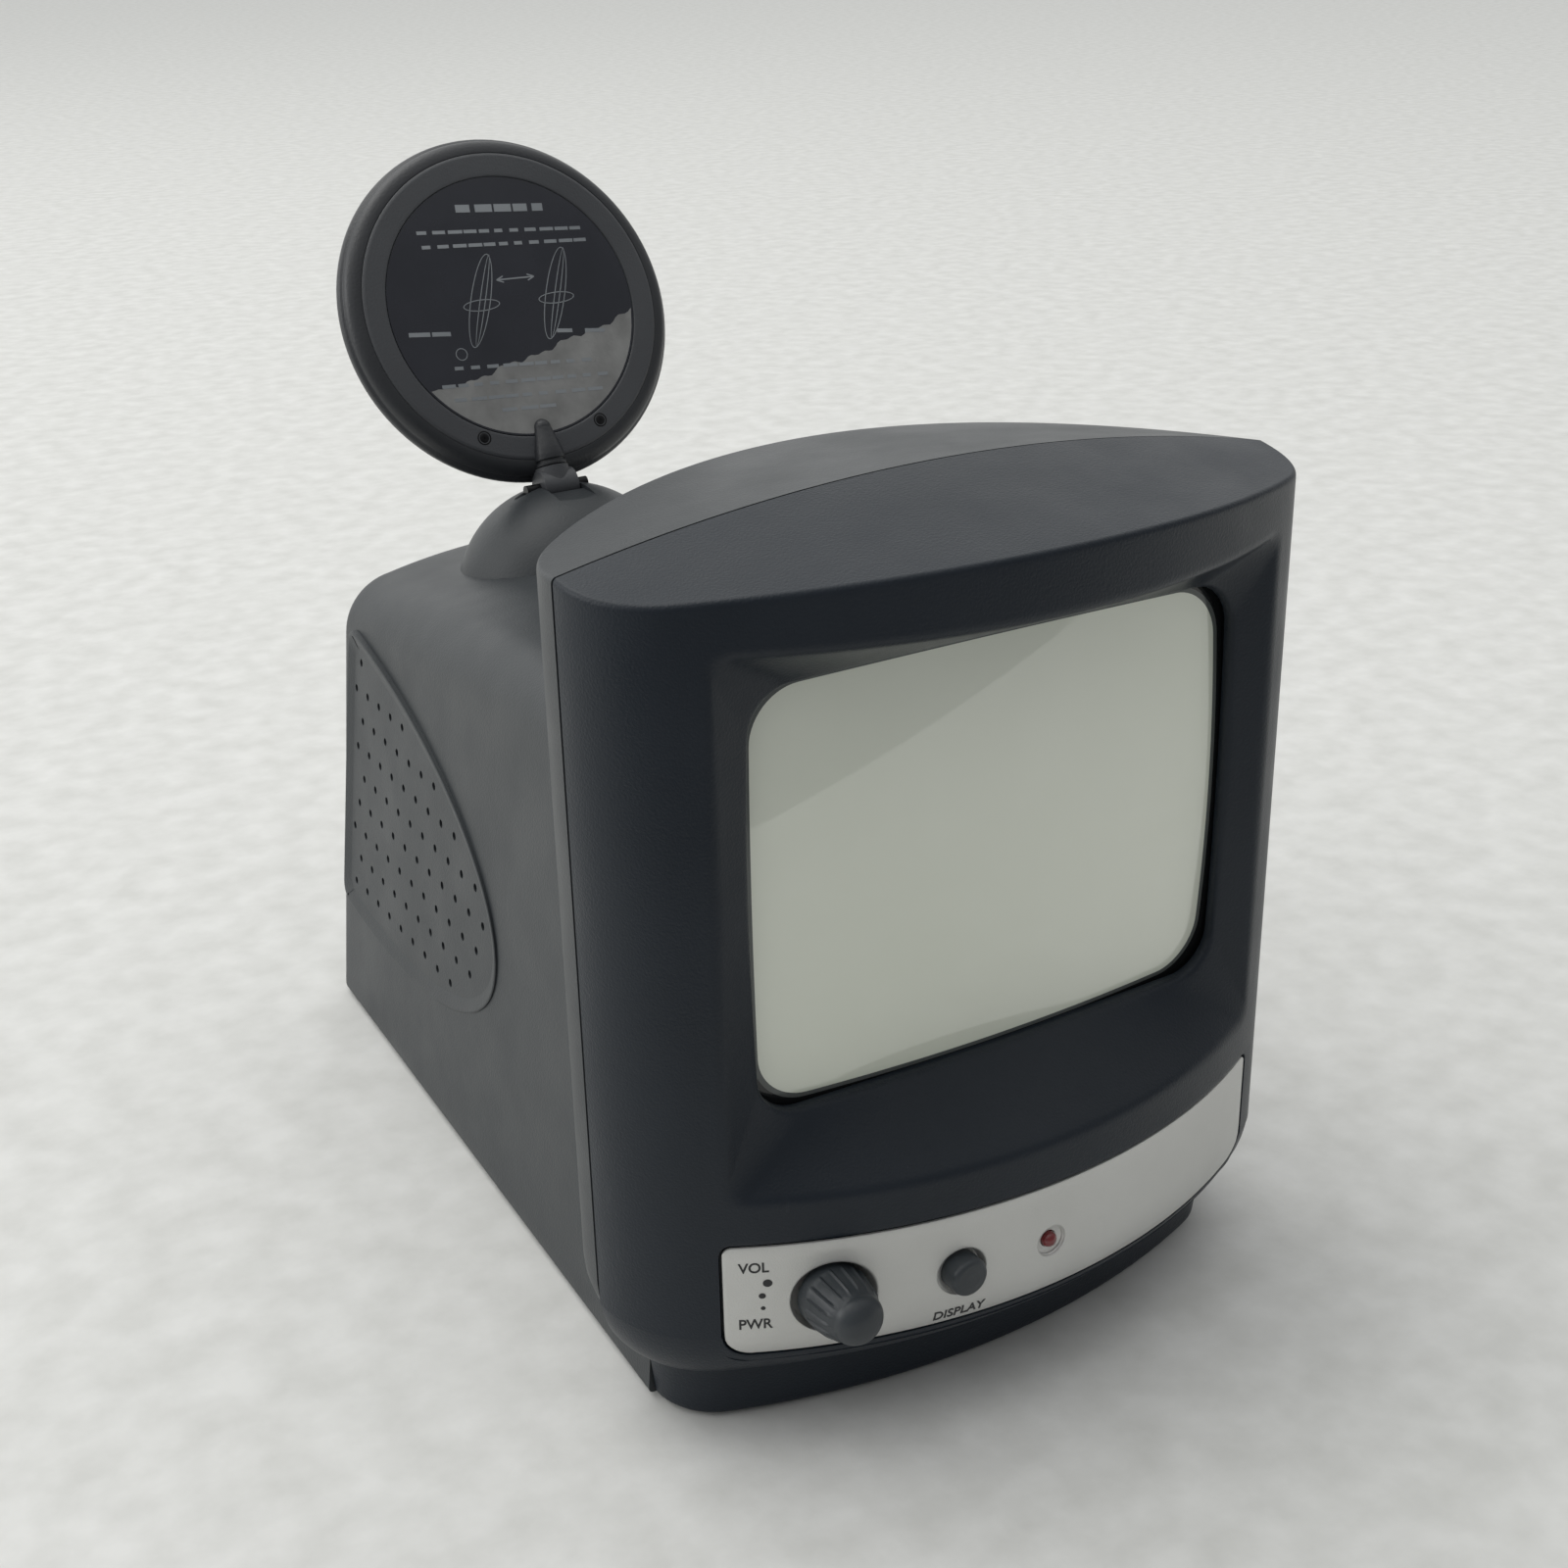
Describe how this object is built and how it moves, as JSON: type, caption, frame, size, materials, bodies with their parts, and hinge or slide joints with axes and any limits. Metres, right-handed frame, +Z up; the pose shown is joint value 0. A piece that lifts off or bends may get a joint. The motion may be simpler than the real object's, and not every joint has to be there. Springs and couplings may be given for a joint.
{
  "type": "picture tube monitor",
  "caption": "Small picture tube monitor with a bowed front, silver control strip, tapered rear casing and a round antenna that tilts and swivels on top.",
  "frame": {"origin": "on the floor, halfway between the front and the back of the whole object", "axes": "+X to the right seen from the front, +Y to the back, +Z up"},
  "size_m": [0.164, 0.261, 0.2287],
  "materials": {
    "aluminium": "extruded",
    "antenna": "textured dark plastic",
    "bakelite": "moulded",
    "bezel": "textured dark plastic",
    "black_part": "moulded",
    "black_screw": "black",
    "board": "laminate",
    "brass": "plated",
    "capacitor": "sleeved",
    "casing": "textured dark grey plastic",
    "control": "black plastic",
    "copper": "enamelled wire",
    "ferrite": "sintered",
    "glass": "grey picture glass",
    "knob": "satin dark plastic",
    "label": "glossy printed film",
    "paper": "pressed pulp",
    "phosphor": "powder coat",
    "red_lamp": "clear red resin",
    "rubber": "soft",
    "silver": "silver lacquer",
    "steel": "zinc plated"
  },
  "bodies": {
    "chassis": {"anode_cap": "rubber", "anode_lead": "rubber", "antenna_coax": "black_part", "antenna_dome": "casing", "board_chips": "black_part", "board_screws": "steel", "casing_screws": "steel", "centring_rings": "ferrite", "channel_switch": "steel", "control_panel": "silver", "crt_band": "steel", "crt_base": "bakelite", "crt_bulb": "glass", "crt_phosphor": "phosphor", "crt_screws": "steel", "display_switch": "black_part", "electron_gun": "steel", "filter_capacitors": "capacitor", "flyback_transformer": "black_part", "front_bezel": "bezel", "front_board": "board", "heat_sink": "aluminium", "hinge_pin": "steel", "led_holder": "black_part", "left_grille": "casing", "main_board": "board", "neck_board": "board", "neck_socket": "bakelite", "output_transistor": "black_part", "power_jack": "black_part", "power_led": "red_lamp", "rear_casing": "casing", "receiver_can": "steel", "right_grille": "casing", "rubber_feet": "rubber", "speaker_cone": "paper", "speaker_frame": "steel", "speaker_magnet": "ferrite", "trimmer_board": "board", "trimmers": "black_part", "video_jack": "brass", "volume_pot": "steel", "yoke_clamp": "bakelite", "yoke_coils": "copper", "yoke_core": "ferrite"},
    "volume": {"volume_knob": "knob", "volume_shaft": "steel"},
    "button": {"display_button": "knob", "switch_plunger": "black_part"},
    "slider": {"channel_slider": "control"},
    "brightness": {"brightness_knob": "control"},
    "contrast": {"contrast_knob": "control"},
    "hold": {"hold_knob": "control"},
    "knuckle": {"antenna_knuckle": "antenna"},
    "antenna": {"antenna_stem": "antenna", "antenna_face": "antenna", "antenna_back": "antenna", "antenna_label": "label", "antenna_element": "board", "antenna_screws": "black_screw"}
  },
  "joints": [
    {"name": "volume_turn", "type": "hinge", "parent": "chassis", "child": "volume", "pos_m": [-0.04675, -0.126, 0.036], "axis": [0, -1, 0], "range_deg": [-280, 0]},
    {"name": "display_press", "type": "slide", "parent": "chassis", "child": "button", "axis": [0, 1, 0], "range_m": [0, 0.0008], "stiffness_N_per_m": 1200},
    {"name": "channel_slide", "type": "slide", "parent": "chassis", "child": "slider", "axis": [1, 0, 0], "range_m": [0, 0.008]},
    {"name": "brightness_turn", "type": "hinge", "parent": "chassis", "child": "brightness", "pos_m": [-0.022, 0.122, 0.062], "axis": [0, 1, 0], "range_deg": [-135, 135]},
    {"name": "contrast_turn", "type": "hinge", "parent": "chassis", "child": "contrast", "pos_m": [0, 0.122, 0.062], "axis": [0, 1, 0], "range_deg": [-135, 135]},
    {"name": "hold_turn", "type": "hinge", "parent": "chassis", "child": "hold", "pos_m": [0.022, 0.122, 0.062], "axis": [0, 1, 0], "range_deg": [-135, 135]},
    {"name": "antenna_tilt", "type": "hinge", "parent": "chassis", "child": "knuckle", "pos_m": [0, 0.087, 0.145], "axis": [-1, 0, 0], "range_deg": [-30, 12]},
    {"name": "antenna_swivel", "type": "hinge", "parent": "knuckle", "child": "antenna", "pos_m": [0, 0.087, 0.145], "axis": [0, 0.4067, 0.9135], "range_deg": [-170, 170]}
  ]
}
